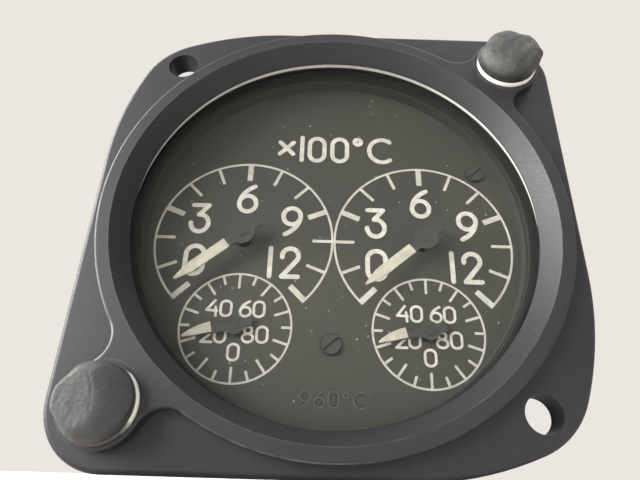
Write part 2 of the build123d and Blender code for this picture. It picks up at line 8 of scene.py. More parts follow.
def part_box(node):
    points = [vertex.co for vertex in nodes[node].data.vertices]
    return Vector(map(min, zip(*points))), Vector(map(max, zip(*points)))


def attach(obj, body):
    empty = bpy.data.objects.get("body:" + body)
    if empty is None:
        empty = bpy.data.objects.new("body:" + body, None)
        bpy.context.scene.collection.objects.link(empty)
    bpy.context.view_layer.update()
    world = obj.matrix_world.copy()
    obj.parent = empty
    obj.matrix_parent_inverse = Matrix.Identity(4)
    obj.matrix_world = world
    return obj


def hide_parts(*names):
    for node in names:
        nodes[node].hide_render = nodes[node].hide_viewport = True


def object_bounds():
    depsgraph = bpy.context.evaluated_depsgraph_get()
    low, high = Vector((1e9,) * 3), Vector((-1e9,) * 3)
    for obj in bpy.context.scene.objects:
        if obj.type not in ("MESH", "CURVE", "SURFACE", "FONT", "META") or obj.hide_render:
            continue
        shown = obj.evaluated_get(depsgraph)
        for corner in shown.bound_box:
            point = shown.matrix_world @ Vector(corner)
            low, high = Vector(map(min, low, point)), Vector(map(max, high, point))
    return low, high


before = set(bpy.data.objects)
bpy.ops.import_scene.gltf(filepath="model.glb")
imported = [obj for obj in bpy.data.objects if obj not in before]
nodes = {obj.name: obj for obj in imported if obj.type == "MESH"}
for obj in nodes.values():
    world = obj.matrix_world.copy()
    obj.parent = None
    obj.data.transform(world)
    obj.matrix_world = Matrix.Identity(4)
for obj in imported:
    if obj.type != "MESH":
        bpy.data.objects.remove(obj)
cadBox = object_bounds()
mm = 0.001
sides = ("left", "right")
print("frame loaded:", len(nodes), "nodes")


# Node-tree helpers
def setInputs(tree, node, **inputs):
    # A key such as i0 is a socket's place, any other key is its name
    for key, value in inputs.items():
        byPlace = key[0] == "i" and key[1:].isdigit()
        socket = node.inputs[int(key[1:]) if byPlace else key.replace("_", " ")]
        if isinstance(value, bpy.types.NodeSocket):
            tree.links.new(value, socket)
        else:
            socket.default_value = value


def addNode(tree, kind, settings=None, **inputs):
    node = tree.nodes.new(kind)
    for key, value in (settings or {}).items():
        setattr(node, key, value)
    setInputs(tree, node, **inputs)
    return node


def newMaterial(name):
    material = bpy.data.materials.new(name)
    material.use_nodes = True
    tree = material.node_tree
    return material, tree, tree.nodes["Principled BSDF"]


def maths(tree, operation, first, second=0.0):
    return addNode(tree, "ShaderNodeMath", {"operation": operation}, i0=first, i1=second).outputs[0]


def ramp(tree, value, low, high, start=0.0, end=1.0):
    node = addNode(
        tree, "ShaderNodeMapRange", {"clamp": True},
        Value=value, From_Min=low, From_Max=high, To_Min=start, To_Max=end,
    )
    return node.outputs["Result"]


def blendColours(tree, amount, first, second):
    return addNode(tree, "ShaderNodeMix", {"data_type": "RGBA"}, i0=amount, i6=first, i7=second).outputs[2]


def place(tree):
    return addNode(tree, "ShaderNodeTexCoord").outputs["Object"]


def grain(tree, scale, detail=4.0, roughness=0.55):
    node = addNode(
        tree, "ShaderNodeTexNoise", Vector=place(tree), Scale=scale, Detail=detail, Roughness=roughness,
    )
    return node.outputs["Fac"]


def pits(tree, scale):
    node = addNode(tree, "ShaderNodeTexVoronoi", {"feature": "F1"}, Vector=place(tree), Scale=scale)
    return node.outputs["Distance"]


def bump(tree, shader, height, strength, depth):
    node = addNode(tree, "ShaderNodeBump", Strength=strength, Distance=depth, Height=height)
    setInputs(tree, shader, Normal=node.outputs["Normal"])


def colour(red, green, blue):
    # Eight-bit screen values to the linear values that a shader takes
    def linear(value):
        share = value / 255
        return share / 12.92 if share <= 0.04045 else ((share + 0.055) / 1.055) ** 2.4
    return (linear(red), linear(green), linear(blue), 1.0)


def fromPoint(tree, centre):
    # How far a spot lies across and up from a point on the front, and its depth in the frame
    parts = addNode(tree, "ShaderNodeSeparateXYZ", Vector=place(tree)).outputs
    across = maths(tree, "SUBTRACT", parts["X"], centre[0])
    up = maths(tree, "SUBTRACT", parts["Z"], centre[1])
    return across, up, parts["Y"]


def hypotenuse(tree, first, second):
    squares = [maths(tree, "MULTIPLY", side, side) for side in (first, second)]
    return maths(tree, "SQRT", maths(tree, "ADD", squares[0], squares[1]))


def towards(tree, across, up, turn):
    # How far a spot reaches in the direction of an angle
    level = maths(tree, "MULTIPLY", across, math.cos(turn))
    return maths(tree, "ADD", level, maths(tree, "MULTIPLY", up, math.sin(turn)))


def ringDistance(tree, centre, radius, depth):
    # Distance in metres from a circle that faces the viewer, for wear along a turned edge
    across, up, back = fromPoint(tree, centre)
    off = maths(tree, "SUBTRACT", hypotenuse(tree, across, up), radius)
    return hypotenuse(tree, off, maths(tree, "SUBTRACT", back, depth))


# Places read from the frame
def centreOf(node):
    low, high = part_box(node)
    return ((low[0] + high[0]) / 2, (low[2] + high[2]) / 2)


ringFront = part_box("bezel_flange")[0][1]
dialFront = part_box("dial_plate")[0][1]
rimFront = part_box("upper_lamp_bush")[0][1]
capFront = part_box("upper_lamp_cap")[0][1]
lampCentres = {name: centreOf(name + "_lamp_bush") for name in ("upper", "lower")}
hubs = {
    "coarse": {side: centreOf(side + "_coarse_arbor") for side in sides},
    "fine": {side: centreOf(side + "_fine_arbor") for side in sides},
}

# A noise pattern runs about from the first to the second of these
grainSpan = (0.3, 0.7)


# Paint of the casting and the case
paintLook = {
    "base": colour(40, 40, 43),
    "light": colour(48, 48, 51),
    "dark": colour(34, 34, 38),
    # Bare metal on worn edges, and the painted highlight on the ring's left edge
    "bareAndHighlight": colour(138, 138, 134),
    "roughness": (0.39, 0.56),
    "specular": 0.42,
    "patchScale": 60.0,
    "patchSpread": (0.32, 0.70),
    "grainScale": 2600.0,
    "grainSpread": (0.45, 0.75),
    "grainShare": 0.55,
    "pitScale": 910.0,
    "pitShare": 0.5,
    "bumpStrength": 0.14,
    "bumpDepth": 0.06 * mm,
}
wornAndLitEdges = {
    "ringRadius": 40.4 * mm,
    "ringShare": 0.85,
    "ringEnd": -2.0 * mm,  # The ring's edge is worn and carries a painted highlight up to here, seen from the left
    "ringFade": 10.0 * mm,
    "lobeReach": 11.2 * mm,  # And not on the lobes
    "crestRadius": 38.1 * mm,
    "crestShare": 0.12,
    "crestWidth": 0.8,
    "blendRadius": 4.3 * mm,
    "blendShare": 1.0,
    "blendWidth": 1.5,
    "lobeRadius": 6.3 * mm,
    "lobeShare": 0.12,
    "width": 0.24 * mm,
    "patchScale": 420.0,
    "patchSpread": (0.36, 0.58),
    "leastShare": 0.15,
}


def blendCentre():
    # Middle of the concave arc on the upper left side of the lower lobe
    look = wornAndLitEdges
    away = math.hypot(*lampCentres["lower"])
    toRing = look["ringRadius"] + look["blendRadius"]
    toLobe = look["lobeRadius"] + look["blendRadius"]
    along = (away ** 2 + toRing ** 2 - toLobe ** 2) / (2 * away)
    aside = math.sqrt(toRing ** 2 - along ** 2)
    return ((-along - aside) / math.sqrt(2), (-along + aside) / math.sqrt(2))


def edgeWear(tree, centre, edge, width=1.0):
    # How far one turned edge is rubbed to bare metal; on the ring's left edge it is also a painted highlight
    look = wornAndLitEdges
    share = look[edge + "Share"]
    away = ringDistance(tree, centre, look[edge + "Radius"], ringFront)
    near = ramp(tree, away, 0.0, look["width"] * width, 1.0, 0.0)
    patches = grain(tree, look["patchScale"], detail=6.0)
    patchy = ramp(tree, patches, *look["patchSpread"], look["leastShare"] * share, share)
    return near, patchy


def ringWearAndHighlight(tree):
    # The outer edge of the ring is lighter on its left side only, where the light falls: wear and a painted
    # highlight, and not where the lobes cross it
    look = wornAndLitEdges
    near, patchy = edgeWear(tree, (0.0, 0.0), "ring")
    across = addNode(tree, "ShaderNodeSeparateXYZ", Vector=place(tree)).outputs["X"]
    end = look["ringEnd"]
    fade = ramp(tree, across, end, end + look["ringFade"], 1.0, look["leastShare"])
    near = maths(tree, "MULTIPLY", near, fade)
    for lobe in lampCentres.values():
        away = ringDistance(tree, lobe, 0.0, ringFront)
        free = ramp(tree, away, look["lobeReach"], look["lobeReach"] + mm)
        near = maths(tree, "MULTIPLY", near, free)
    return near, patchy


def wearAndHighlight(tree):
    edges = [
        ringWearAndHighlight(tree),
        edgeWear(tree, (0.0, 0.0), "crest", wornAndLitEdges["crestWidth"]),
        edgeWear(tree, blendCentre(), "blend", wornAndLitEdges["blendWidth"]),
    ]
    edges += [edgeWear(tree, centre, "lobe") for centre in lampCentres.values()]
    wornAndLit = None
    for near, patchy in edges:
        rubbed = maths(tree, "MULTIPLY", near, patchy)
        wornAndLit = rubbed if wornAndLit is None else maths(tree, "MAXIMUM", wornAndLit, rubbed)
    return wornAndLit


def satinPaint(name, wornAndLit=False):
    # Satin powder paint with a fine grain, on the bezel worn to bare metal along its turned edges, with a
    # painted highlight along the ring's left edge
    look = paintLook
    material, tree, shader = newMaterial(name)
    patches = ramp(tree, grain(tree, look["patchScale"], detail=5.0), *look["patchSpread"])
    fine = grain(tree, look["grainScale"], detail=3.0)
    tone = blendColours(tree, patches, look["dark"], look["base"])
    specks = ramp(tree, fine, *look["grainSpread"], 0.0, look["grainShare"])
    tone = blendColours(tree, specks, tone, look["light"])
    if wornAndLit:
        # Wear along the turned edges, and a painted highlight on the ring's left edge
        tone = blendColours(tree, wearAndHighlight(tree), tone, look["bareAndHighlight"])
    roughness = ramp(tree, fine, *grainSpan, *look["roughness"])
    setInputs(tree, shader, Base_Color=tone, Roughness=roughness, Specular_IOR_Level=look["specular"])
    pitted = maths(tree, "MULTIPLY", pits(tree, look["pitScale"]), look["pitShare"])
    bump(tree, shader, maths(tree, "ADD", fine, pitted), look["bumpStrength"], look["bumpDepth"])
    return material


# Paint of the dial, its screws and the pressed figures
dialLook = {
    "base": colour(72, 72, 64),
    "dark": colour(62, 62, 56),
    "roughness": 0.62,
    "stampRoughness": 0.5,
    "screwRoughness": 0.5,
    "patchScale": 35.0,
    "patchSpread": (0.35, 0.68),
    "grainScale": 1800.0,
    "bumpStrength": 0.25,
    "bumpDepth": 0.03 * mm,
    "screws": [(28.2 * mm, 14.2 * mm), (-0.1 * mm, -21.3 * mm)],
    # Painted shade in the gap round each screw head
    "gap": colour(30, 30, 28),
    "gapRadius": 1.85 * mm,
    "gapWidth": 0.30 * mm,
    "gapShare": 0.75,
}


def dialPaint(name, dark, base, roughness, screws=()):
    # Matte paint, with a dark line of painted shade in the gap around each screw head
    look = dialLook
    material, tree, shader = newMaterial(name)
    fine = grain(tree, look["grainScale"])
    tone = blendColours(tree, ramp(tree, grain(tree, look["patchScale"]), *look["patchSpread"]), dark, base)
    # Painted shade in the gap round each screw head
    for centre in screws:
        away = ringDistance(tree, centre, look["gapRadius"], dialFront)
        near = ramp(tree, away, look["gapWidth"] / 2, look["gapWidth"], look["gapShare"], 0.0)
        tone = blendColours(tree, near, tone, look["gap"])
    setInputs(tree, shader, Base_Color=tone, Roughness=roughness)
    bump(tree, shader, fine, look["bumpStrength"], look["bumpDepth"])
    return material


# White marking paint: its colour and the colour where it is thin
whiteLook = {
    "scale": (colour(224, 223, 209), colour(202, 201, 188)),
    "figures": (colour(240, 238, 226), colour(214, 212, 200)),
    "roughness": 0.6,
    "patchScale": 900.0,
    "patchSpread": (0.40, 0.66),
    "grainScale": 4200.0,
    "bumpStrength": 0.2,
    "bumpDepth": 0.02 * mm,
}


def whitePaint(name, base, thin):
    look = whiteLook
    material, tree, shader = newMaterial(name)
    patches = ramp(tree, grain(tree, look["patchScale"]), *look["patchSpread"])
    tone = blendColours(tree, patches, thin, base)
    setInputs(tree, shader, Base_Color=tone, Roughness=look["roughness"])
    bump(tree, shader, grain(tree, look["grainScale"]), look["bumpStrength"], look["bumpDepth"])
    return material


# Metals: colour, its shade, roughness, how metallic, and the nodes that have it
metalFinishes = {
    "brightRing": (colour(238, 238, 228), colour(214, 214, 204), 0.42, 0.0, ["glass_ring"]),
    "blackSteel": (colour(64, 64, 66), colour(40, 40, 42), 0.5, 1.0, ["case_screws", "cover_screws"]),
    "groundSteel": (
        colour(176, 176, 178), colour(140, 140, 142), 0.3, 1.0,
        ["left_middle_arbor", "right_middle_arbor", "connector_screws"],
    ),
    "machinedBrass": (
        colour(206, 178, 108), colour(170, 142, 80), 0.32, 1.0,
        [
            "left_coarse_wheel", "right_coarse_wheel", "left_middle_wheel", "right_middle_wheel",
            "front_bushes", "rear_bushes",
        ],
    ),
    "blackedSteel": (
        colour(68, 68, 62), colour(56, 56, 52), 0.6, 0.0,
        ["left_coarse_arbor", "right_coarse_arbor", "left_fine_arbor", "right_fine_arbor"],
    ),
    "machinedAlloy": (
        colour(200, 202, 202), colour(168, 170, 172), 0.38, 1.0,
        [
            "front_plate", "rear_plate", "plate_pillars", "board_pillars", "board_spacers",
            "dial_posts", "lock_ring", "connector_shell",
        ],
    ),
    "drawnCan": (
        colour(190, 190, 194), colour(160, 160, 164), 0.3, 1.0,
        ["left_servo_motor", "right_servo_motor", "board_capacitors", "board_transistors"],
    ),
    "silveredBrass": (
        colour(214, 204, 170), colour(180, 168, 130), 0.28, 1.0, ["connector_pins", "lamp_contacts"],
    ),
}
metalLook = {
    "grainScale": 1500.0,
    "grainSpread": (0.35, 0.7),
    "smoother": 0.06,
    "rougher": 0.10,
    "bumpStrength": 0.12,
    "bumpDepth": 0.02 * mm,
}


def plainMetal(name, base, shade, roughness, metallic):
    # Machined or plated metal: fine scratches turn its roughness a little
    look = metalLook
    material, tree, shader = newMaterial(name)
    fine = grain(tree, look["grainScale"], detail=5.0)
    tone = blendColours(tree, ramp(tree, fine, *look["grainSpread"]), shade, base)
    scratched = ramp(tree, fine, *grainSpan, roughness - look["smoother"], roughness + look["rougher"])
    setInputs(tree, shader, Base_Color=tone, Roughness=scratched, Metallic=metallic)
    bump(tree, shader, fine, look["bumpStrength"], look["bumpDepth"])
    return material


# Rubber, inner paint, laminate, moulding and varnished iron: colour, its shade, roughness and nodes
matteFinishes = {
    "blackRubber": (colour(40, 40, 38), colour(30, 30, 30), 0.7, ["glass_gasket", "cover_gasket"]),
    "innerBlack": (colour(64, 65, 60), colour(48, 49, 46), 0.55, ["dial_spacer"]),
    "boardLaminate": (colour(92, 104, 60), colour(74, 86, 48), 0.5, ["control_board", "supply_board"]),
    "brownMoulding": (
        colour(58, 44, 36), colour(42, 32, 26), 0.45,
        ["left_feedback_pot", "right_feedback_pot", "connector_insert"],
    ),
    "varnishedIron": (colour(56, 50, 46), colour(38, 34, 32), 0.55, ["supply_transformer"]),
}
matteLook = {
    "grainScale": 1400.0,
    "grainSpread": (0.35, 0.68),
    "bumpStrength": 0.2,
    "bumpDepth": 0.04 * mm,
}


def matteSolid(name, base, shade, roughness):
    look = matteLook
    material, tree, shader = newMaterial(name)
    fine = grain(tree, look["grainScale"])
    tone = blendColours(tree, ramp(tree, fine, *look["grainSpread"]), shade, base)
    setInputs(tree, shader, Base_Color=tone, Roughness=roughness)
    bump(tree, shader, fine, look["bumpStrength"], look["bumpDepth"])
    return material


# Glass: tint, how much it covers, roughness and nodes
glassFinishes = {
    "windowGlass": (colour(60, 64, 62), 0.08, 0.03, ["cover_glass"]),
    "lampGlass": (colour(240, 238, 228), 0.35, 0.05, ["upper_lamp", "lower_lamp"]),
}
glassLook = {
    "smearScale": 260.0,
    "smearSpread": (0.45, 0.75),
    "smearRoughness": 0.05,
    "specular": 0.6,
}


def clearGlass(name, tint, cover, roughness):
    look = glassLook
    material, tree, shader = newMaterial(name)
    smears = grain(tree, look["smearScale"], detail=6.0)
    smeared = ramp(tree, smears, *look["smearSpread"], roughness, roughness + look["smearRoughness"])
    setInputs(
        tree, shader, Base_Color=tint, Alpha=cover, Roughness=smeared, Specular_IOR_Level=look["specular"],
    )
    return material


# Bright rims of the lamp caps: each is clean and lit on the side at this angle in degrees; away from it a
# dark paint smear and painted shade darken it, dark where it faces that side less than the second number and
# bright past the third
rimLook = {
    "cleanAndLit": {"upper": (268, 0.0, 0.35), "lower": (6, 0.74, 0.90)},
    "bright": colour(236, 236, 226),
    # Dark paint smear and painted shade on the rim away from its lit side
    "smeared": colour(72, 72, 72),
    "roughness": (0.30, 0.42),
    "grainScale": 1500.0,
    "raggedScale": 500.0,
    "raggedEdge": 0.12,
}


def rimMetal(name):
    # Plated rim, darkened away from its clean, lit side by a dark paint smear and painted shade
    look = rimLook
    angle, hidden, clear = look["cleanAndLit"][name]
    material, tree, shader = newMaterial(name + "Rim")
    across, up, _ = fromPoint(tree, lampCentres[name])
    ahead = towards(tree, across, up, math.radians(angle))
    facing = maths(tree, "DIVIDE", ahead, hypotenuse(tree, across, up))
    edge = look["raggedEdge"]
    ragged = ramp(tree, grain(tree, look["raggedScale"], detail=3.0), *grainSpan, -edge, edge)
    # Painted shade with a dark paint smear away from the lit side, the plain bright rim on it
    cleanAndLit = ramp(tree, maths(tree, "ADD", facing, ragged), hidden, clear)
    tone = blendColours(tree, cleanAndLit, look["smeared"], look["bright"])
    roughness = ramp(tree, grain(tree, look["grainScale"]), *grainSpan, *look["roughness"])
    setInputs(tree, shader, Base_Color=tone, Roughness=roughness)
    return material


def assign(material, *names):
    for name in names:
        for holder in nodes[name].material_slots:
            holder.material = material


def dressNodes():
    assign(satinPaint("bezelPaint", wornAndLit=True), "bezel_flange")
    assign(satinPaint("casePaint"), "case_tube", "rear_cover")
    dark, base = dialLook["dark"], dialLook["base"]
    assign(dialPaint("dialPaint", dark, base, dialLook["roughness"], dialLook["screws"]), "dial_plate")
    assign(dialPaint("screwPaint", dark, base, dialLook["screwRoughness"]), "dial_screws")
    assign(whitePaint("scaleWhite", *whiteLook["scale"]), "dial_scales")
    plain = [(plainMetal, metalFinishes), (matteSolid, matteFinishes), (clearGlass, glassFinishes)]
    for make, finishes in plain:
        for name, (*look, names) in finishes.items():
            assign(make(name, *look), *names)
    for name in lampCentres:
        assign(rimMetal(name), name + "_lamp_bush")


dressNodes()
print("frame dressed")


# Pieces made as meshes
def addObject(name, data):
    holder = bpy.data.objects.new(name, data)
    bpy.context.collection.objects.link(holder)
    return holder


def closedMesh(name, form, material):
    bmesh.ops.recalc_face_normals(form, faces=form.faces)
    mesh = bpy.data.meshes.new(name)
    form.to_mesh(mesh)
    form.free()
    mesh.materials.append(material)
    return mesh


# Pointers: angles at rest, and where the paint starts on each blade
pointerLook = {
    "paint": colour(216, 212, 194),
    "thin": colour(194, 190, 172),
    "dark": colour(66, 66, 60),
    "angles": {"coarse": math.radians(220.275), "fine": math.radians(194.4)},
    "paintStarts": {"coarse": 3.4 * mm, "fine": 4.0 * mm},
    "startEdge": 0.05 * mm,
    "fineLower": -0.38 * mm,
    "lowerEdge": 0.04 * mm,
    "patchScale": 800.0,
    "patchSpread": (0.38, 0.62),
    "roughness": (0.45, 0.62),
    "roughnessScale": 1500.0,
    "grainScale": 3000.0,
    "bumpStrength": 0.15,
    "bumpDepth": 0.02 * mm,
}


def pointerPaint(side, kind):
    # Cream paint on the blade only, from a straight edge on; hub and tail stay black
    look = pointerLook
    material, tree, shader = newMaterial(side + kind.capitalize() + "Pointer")
    turn = look["angles"][kind]
    across, up, _ = fromPoint(tree, hubs[kind][side])
    start, edge = look["paintStarts"][kind], look["startEdge"]
    painted = ramp(tree, towards(tree, across, up, turn), start - edge, start + edge)
    if kind == "fine":
        aside = towards(tree, across, up, turn - math.pi / 2)
        lower, edge = look["fineLower"], look["lowerEdge"]
        painted = maths(tree, "MULTIPLY", painted, ramp(tree, aside, lower - edge, lower + edge))
    patches = ramp(tree, grain(tree, look["patchScale"]), *look["patchSpread"])
    cream = blendColours(tree, patches, look["thin"], look["paint"])
    tone = blendColours(tree, painted, look["dark"], cream)
    roughness = ramp(tree, grain(tree, look["roughnessScale"]), *grainSpan, *look["roughness"])
    setInputs(tree, shader, Base_Color=tone, Roughness=roughness)
    bump(tree, shader, grain(tree, look["grainScale"]), look["bumpStrength"], look["bumpDepth"])
    return material


# The broad painted leaf on a fine pointer, in millimetres:
# how far out from the hub, then its upper and its lower edge there
leafLook = {
    "front": 1.27 * mm,
    "back": 1.15 * mm,
    "edges": [
        (4.0, 1.42, -0.38), (5.0, 1.38, -0.36), (6.0, 1.24, -0.32), (7.0, 1.00, -0.27),
        (7.8, 0.75, -0.22), (8.5, 0.46, -0.16), (8.9, 0.26, -0.12), (9.1, 0.10, -0.08),
    ],
}


def layLeaf(side, material):
    hub = hubs["fine"][side]
    turn = pointerLook["angles"]["fine"]
    along, up = (math.cos(turn), math.sin(turn)), (math.sin(turn), -math.cos(turn))
    outline = [(reach, upper) for reach, upper, lower in leafLook["edges"]]
    outline += [(reach, lower) for reach, upper, lower in reversed(leafLook["edges"])]
    form = bmesh.new()
    loops = []
    for depth in (leafLook["front"], leafLook["back"]):
        loops.append([form.verts.new((
            hub[0] + (reach * along[0] + aside * up[0]) * mm,
            dialFront - depth,
            hub[1] + (reach * along[1] + aside * up[1]) * mm,
        )) for reach, aside in outline])
    front, back = loops
    form.faces.new(front)
    form.faces.new(list(reversed(back)))
    for index in range(len(outline)):
        after = (index + 1) % len(outline)
        form.faces.new((front[index], back[index], back[after], front[after]))
    piece = addObject(side + "FineLeaf", closedMesh(side + "FineLeaf", form, material))
    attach(piece, side + "_fine")


leafPaint = whitePaint("leafPaint", pointerLook["paint"], pointerLook["thin"])
for side in sides:
    for kind in ("coarse", "fine"):
        assign(pointerPaint(side, kind), side + "_" + kind + "_pointer")
    layLeaf(side, leafPaint)
print("pointers painted")


# Geometry Nodes helpers
def newTree(name, **sockets):
    tree = bpy.data.node_groups.new(name, "GeometryNodeTree")
    tree.interface.new_socket("Geometry", in_out="INPUT", socket_type="NodeSocketGeometry")
    for label, kind in sockets.items():
        tree.interface.new_socket(label, in_out="INPUT", socket_type="NodeSocket" + kind)
    tree.interface.new_socket("Geometry", in_out="OUTPUT", socket_type="NodeSocketGeometry")
    return tree, tree.nodes.new("NodeGroupInput").outputs


def endTree(tree, geometry, material):
    solid = addNode(tree, "GeometryNodeRealizeInstances", Geometry=geometry)
    painted = addNode(tree, "GeometryNodeSetMaterial", Geometry=solid.outputs[0], Material=material)
    addNode(tree, "NodeGroupOutput", i0=painted.outputs[0])


def joined(tree, *parts):
    node = tree.nodes.new("GeometryNodeJoinGeometry")
    for part in reversed(parts):
        tree.links.new(part, node.inputs[0])
    return node.outputs[0]


def bakeTree(holder, tree, values, name, body):
    # Run the tree, keep its result as a plain mesh and let it ride on a body
    modifier = holder.modifiers.new("nodes", "NODES")
    modifier.node_group = tree
    for item in tree.interface.items_tree:
        if item.in_out == "INPUT" and item.name in values:
            modifier[item.identifier] = values[item.name]
    graph = bpy.context.evaluated_depsgraph_get()
    mesh = bpy.data.meshes.new_from_object(holder.evaluated_get(graph), depsgraph=graph)
    holder.modifiers.remove(modifier)
    bpy.data.objects.remove(holder)
    mesh.name = name
    piece = addObject(name, mesh)
    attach(piece, body)
    return piece


def standUp(mesh, depth):
    # From a drawing laid flat to the dial: X stays, Y turns up, thickness turns to the viewer
    mesh.transform(Matrix.Translation((0, depth, 0)) @ Matrix.Rotation(math.radians(90), 4, "X"))
    mesh.update()


# Each glyph is drawn along its centre line in a box one wide and one high, closed loops marked True
def arc(x, z, across, high, start, sweep, steps=20):
    turns = [math.radians(start + sweep * step / steps) for step in range(steps + 1)]
    return [(x + across * math.cos(turn), z + high * math.sin(turn)) for turn in turns]


def bend(first, control, last, steps=14):
    points = []
    for step in range(steps + 1):
        t = step / steps
        blend = ((1 - t) ** 2, 2 * t * (1 - t), t * t)
        points.append(tuple(
            blend[0] * a + blend[1] * b + blend[2] * c for a, b, c in zip(first, control, last)
        ))
    return points


def turnedRound(strokes):
    return [(closed, [(1 - x, 1 - z) for x, z in points]) for closed, points in strokes]


sixStrokes = [
    (True, arc(0.5, 0.31, 0.5, 0.31, 0, 360, 28)[:-1]),
    (False, bend((0.02, 0.40), (0.16, 0.80), (0.86, 1.0))),
]
glyphs = {
    "0": [(True, arc(0.5, 0.71, 0.5, 0.29, 0, 180) + arc(0.5, 0.29, 0.5, 0.29, 180, 180))],
    "1": [(False, [(0.5, 0.0), (0.5, 1.0)])],
    "2": [
        (False, arc(0.5, 0.73, 0.5, 0.27, 190, -220) + [(0.02, 0.0)]),
        (False, [(0.02, 0.0), (1.0, 0.0)]),
    ],
    "3": [
        (False, [(0.04, 1.0), (0.93, 1.0)]),
        (False, [(0.93, 1.0), (0.40, 0.63)]),
        (False, [(0.40, 0.63)] + arc(0.5, 0.31, 0.5, 0.32, 90, -270)),
    ],
    "4": [
        (False, [(0.75, 1.0), (0.0, 0.36)]),
        (False, [(0.0, 0.36), (1.0, 0.33)]),
        (False, [(0.86, 0.58), (0.93, 0.0)]),
    ],
    "6": sixStrokes,
    "8": [
        (True, arc(0.5, 0.77, 0.36, 0.23, 0, 360, 24)[:-1]),
        (True, arc(0.5, 0.27, 0.5, 0.27, 0, 360, 28)[:-1]),
    ],
    "9": turnedRound(sixStrokes),
    "C": [(False, arc(0.62, 0.5, 0.62, 0.5, 52, 256, 32))],
    "degree": [(True, arc(0.5, 0.5, 0.5, 0.5, 0, 360, 20)[:-1])],
    "times": [(False, [(0.0, 0.0), (1.0, 1.0)]), (False, [(0.0, 1.0), (1.0, 0.0)])],
}

# Millimetres: centre from the hub or from the middle of the dial, then outer width and height
coarseFigures = {
    "stroke": 0.88,
    "figures": [
        ("0", -8.80, -4.50, 4.2, 6.5),
        ("3", -8.80, 4.20, 4.2, 6.5),
        ("6", 0.00, 8.75, 4.2, 6.5),
        ("9", 8.80, 4.10, 4.2, 6.5),
        ("1", 5.20, -4.50, 0.88, 6.5),
        ("2", 8.90, -4.50, 3.9, 6.5),
    ],
}
fineFigures = {
    "stroke": 0.45,
    "figures": [
        ("4", -4.45, 3.20, 2.3, 3.2),
        ("0", -1.95, 3.20, 2.3, 3.2),
        ("6", 1.50, 3.20, 2.3, 3.2),
        ("0", 3.90, 3.20, 2.3, 3.2),
        ("2", -4.80, -1.50, 2.3, 3.2),
        ("0", -2.50, -1.50, 2.3, 3.2),
        ("8", 2.30, -1.35, 2.3, 3.2),
        ("0", 4.75, -1.35, 2.3, 3.2),
        ("0", 0.05, -4.50, 2.3, 3.2),
    ],
}
unitLegend = {
    "stroke": 0.88,
    "figures": [
        ("times", -9.95, 19.35, 3.6, 3.7),
        ("1", -6.80, 19.30, 0.88, 6.5),
        ("0", -3.70, 19.20, 3.9, 6.4),
        ("0", 0.95, 19.20, 3.9, 6.4),
        ("degree", 4.70, 21.35, 2.2, 2.2),
        ("C", 9.15, 19.30, 5.1, 6.4),
    ],
}
rangeStamp = {
    # Two flat layers: a wide dark band of painted shade round the strokes, then a narrow lighter core of
    # painted highlight on top
    "layers": {
        "shadeOutline": {"stroke": 0.66, "rise": 0.02 * mm, "paint": colour(48, 46, 42)},
        "highlightCore": {"stroke": 0.24, "rise": 0.05 * mm, "paint": colour(92, 90, 83)},
    },
    "figures": [
        ("9", -4.30, -30.38, 2.0, 2.8),
        ("6", -1.91, -30.38, 1.9, 2.8),
        ("0", 0.42, -30.38, 1.9, 2.8),
        ("degree", 2.46, -29.60, 1.0, 1.0),
        ("C", 4.74, -30.38, 2.2, 2.8),
    ],
}
strokeLook = {
    "rise": 0.06 * mm,
    "lift": 0.005 * mm,  # Each stroke of a glyph lies this much over the one before
    "endSides": 14,
    "endDepth": 0.94,
}


def drawFigures(name, placed, stroke):
    # One flat curve object that holds every stroke of the given figures
    curve = bpy.data.curves.new(name, "CURVE")
    curve.dimensions = "3D"
    for glyph, x, z, width, height in placed:
        across, high = width - stroke, height - stroke
        for order, (closed, points) in enumerate(glyphs[glyph]):
            spline = curve.splines.new("POLY")
            spline.points.add(len(points) - 1)
            for point, (u, v) in zip(spline.points, points):
                right, up = x + (u - 0.5) * across, z + (v - 0.5) * high
                point.co = (right * mm, up * mm, order * strokeLook["lift"], 1.0)
            spline.use_cyclic_u = closed
    return addObject(name, curve)


def strokeTree():
    # A flat band along every stroke, with a round end where the stroke is open
    tree, given = newTree("paintStroke", Width="Float", Height="Float", Material="Material")
    width, height = given["Width"], given["Height"]
    flat = addNode(tree, "GeometryNodeSetCurveNormal", {"mode": "Z_UP"}, Curve=given["Geometry"]).outputs[0]
    profile = addNode(tree, "GeometryNodeCurvePrimitiveQuadrilateral", Width=width, Height=height).outputs[0]
    swept = addNode(tree, "GeometryNodeCurveToMesh", Curve=flat, Profile_Curve=profile, Fill_Caps=True)
    isEnd = addNode(tree, "GeometryNodeCurveEndpointSelection").outputs[0]
    isClosed = addNode(tree, "GeometryNodeInputSplineCyclic").outputs[0]
    openEnds = addNode(tree, "FunctionNodeBooleanMath", {"operation": "NIMPLY"}, i0=isEnd, i1=isClosed)
    radius = maths(tree, "MULTIPLY", width, 0.5)
    depth = maths(tree, "MULTIPLY", height, strokeLook["endDepth"])
    end = addNode(
        tree, "GeometryNodeMeshCylinder", Vertices=strokeLook["endSides"], Radius=radius, Depth=depth,
    )
    ends = addNode(
        tree, "GeometryNodeInstanceOnPoints",
        Points=flat, Selection=openEnds.outputs[0], Instance=end.outputs["Mesh"],
    )
    both = joined(tree, swept.outputs[0], ends.outputs[0])
    solid = addNode(tree, "GeometryNodeRealizeInstances", Geometry=both).outputs[0]
    facets = addNode(tree, "GeometryNodeSetShadeSmooth", Geometry=solid, Shade_Smooth=False)
    endTree(tree, facets.outputs[0], given["Material"])
    return tree


def shifted(figures, centre):
    x, z = centre[0] / mm, centre[1] / mm
    return [(glyph, x + dx, z + dz, width, height) for glyph, dx, dz, width, height in figures]


paintStroke = strokeTree()
figurePaint = whitePaint("figureWhite", *whiteLook["figures"])


